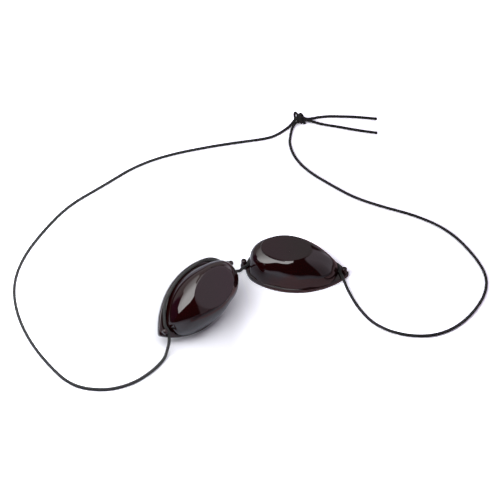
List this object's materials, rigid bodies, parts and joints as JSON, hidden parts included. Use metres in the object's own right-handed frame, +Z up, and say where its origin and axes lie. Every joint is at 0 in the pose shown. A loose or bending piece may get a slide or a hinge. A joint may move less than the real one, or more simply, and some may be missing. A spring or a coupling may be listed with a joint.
{
  "type": "tanning goggles",
  "caption": "Hollow tinted eye cups with flat oval windows, threaded on a thin elastic cord that is knotted behind the head; they shield closed eyes on a sunbed.",
  "frame": {"origin": "on the table under the middle of the box round the two eye cups, with the cord left out", "axes": "+Z up from the table, +Y away from the viewer towards the knot, +X to the viewer's right"},
  "size_m": [0.2457, 0.1965, 0.0296],
  "materials": {
    "cup_plastic": "high gloss, dark purple-brown tint, moulded in one piece with its window",
    "cord_braid": "black braided sleeve over a rubber core"
  },
  "bodies": {
    "strap": {"left_far_loop_cord": "cord_braid", "right_far_loop_cord": "cord_braid", "cord_knot": "cord_braid", "upper_tail_cord": "cord_braid", "lower_tail_cord": "cord_braid", "bridge_cord": "cord_braid"},
    "left_turn": {"left_near_loop_cord": "cord_braid"},
    "left_cup": {"left_eye_cup": "cup_plastic", "left_brow_cord": "cord_braid"},
    "right_side": {"right_middle_loop_cord": "cord_braid"},
    "right_turn": {"right_near_loop_cord": "cord_braid"},
    "right_cup": {"right_eye_cup": "cup_plastic", "right_brow_cord": "cord_braid"}
  },
  "joints": [
    {"name": "left_swing", "type": "hinge", "parent": "strap", "child": "left_turn", "pos_m": [-0.01406, 0.00792, 0.01473], "axis": [0, 0, 1], "range_deg": [-57, 25], "deforming": ["left_near_loop_cord"]},
    {"name": "left_roll", "type": "hinge", "parent": "left_turn", "child": "left_cup", "pos_m": [-0.01406, 0.00792, 0.01473], "axis": [-0.6077, -0.7866, -0.109], "range_deg": [-44, 45]},
    {"name": "nose_gap", "type": "slide", "parent": "strap", "child": "right_side", "axis": [0.5115, 0.6052, -0.61], "range_m": [-0.003, 0.01], "deforming": ["bridge_cord", "right_middle_loop_cord"]},
    {"name": "right_swing", "type": "hinge", "parent": "right_side", "child": "right_turn", "pos_m": [-0.00446, 0.01928, 0.00328], "axis": [0, 0, 1], "range_deg": [-20, 30], "deforming": ["right_near_loop_cord"]},
    {"name": "right_roll", "type": "hinge", "parent": "right_turn", "child": "right_cup", "pos_m": [-0.00446, 0.01928, 0.00328], "axis": [0.9958, -0.092, 0], "range_deg": [-30, 60]}
  ]
}
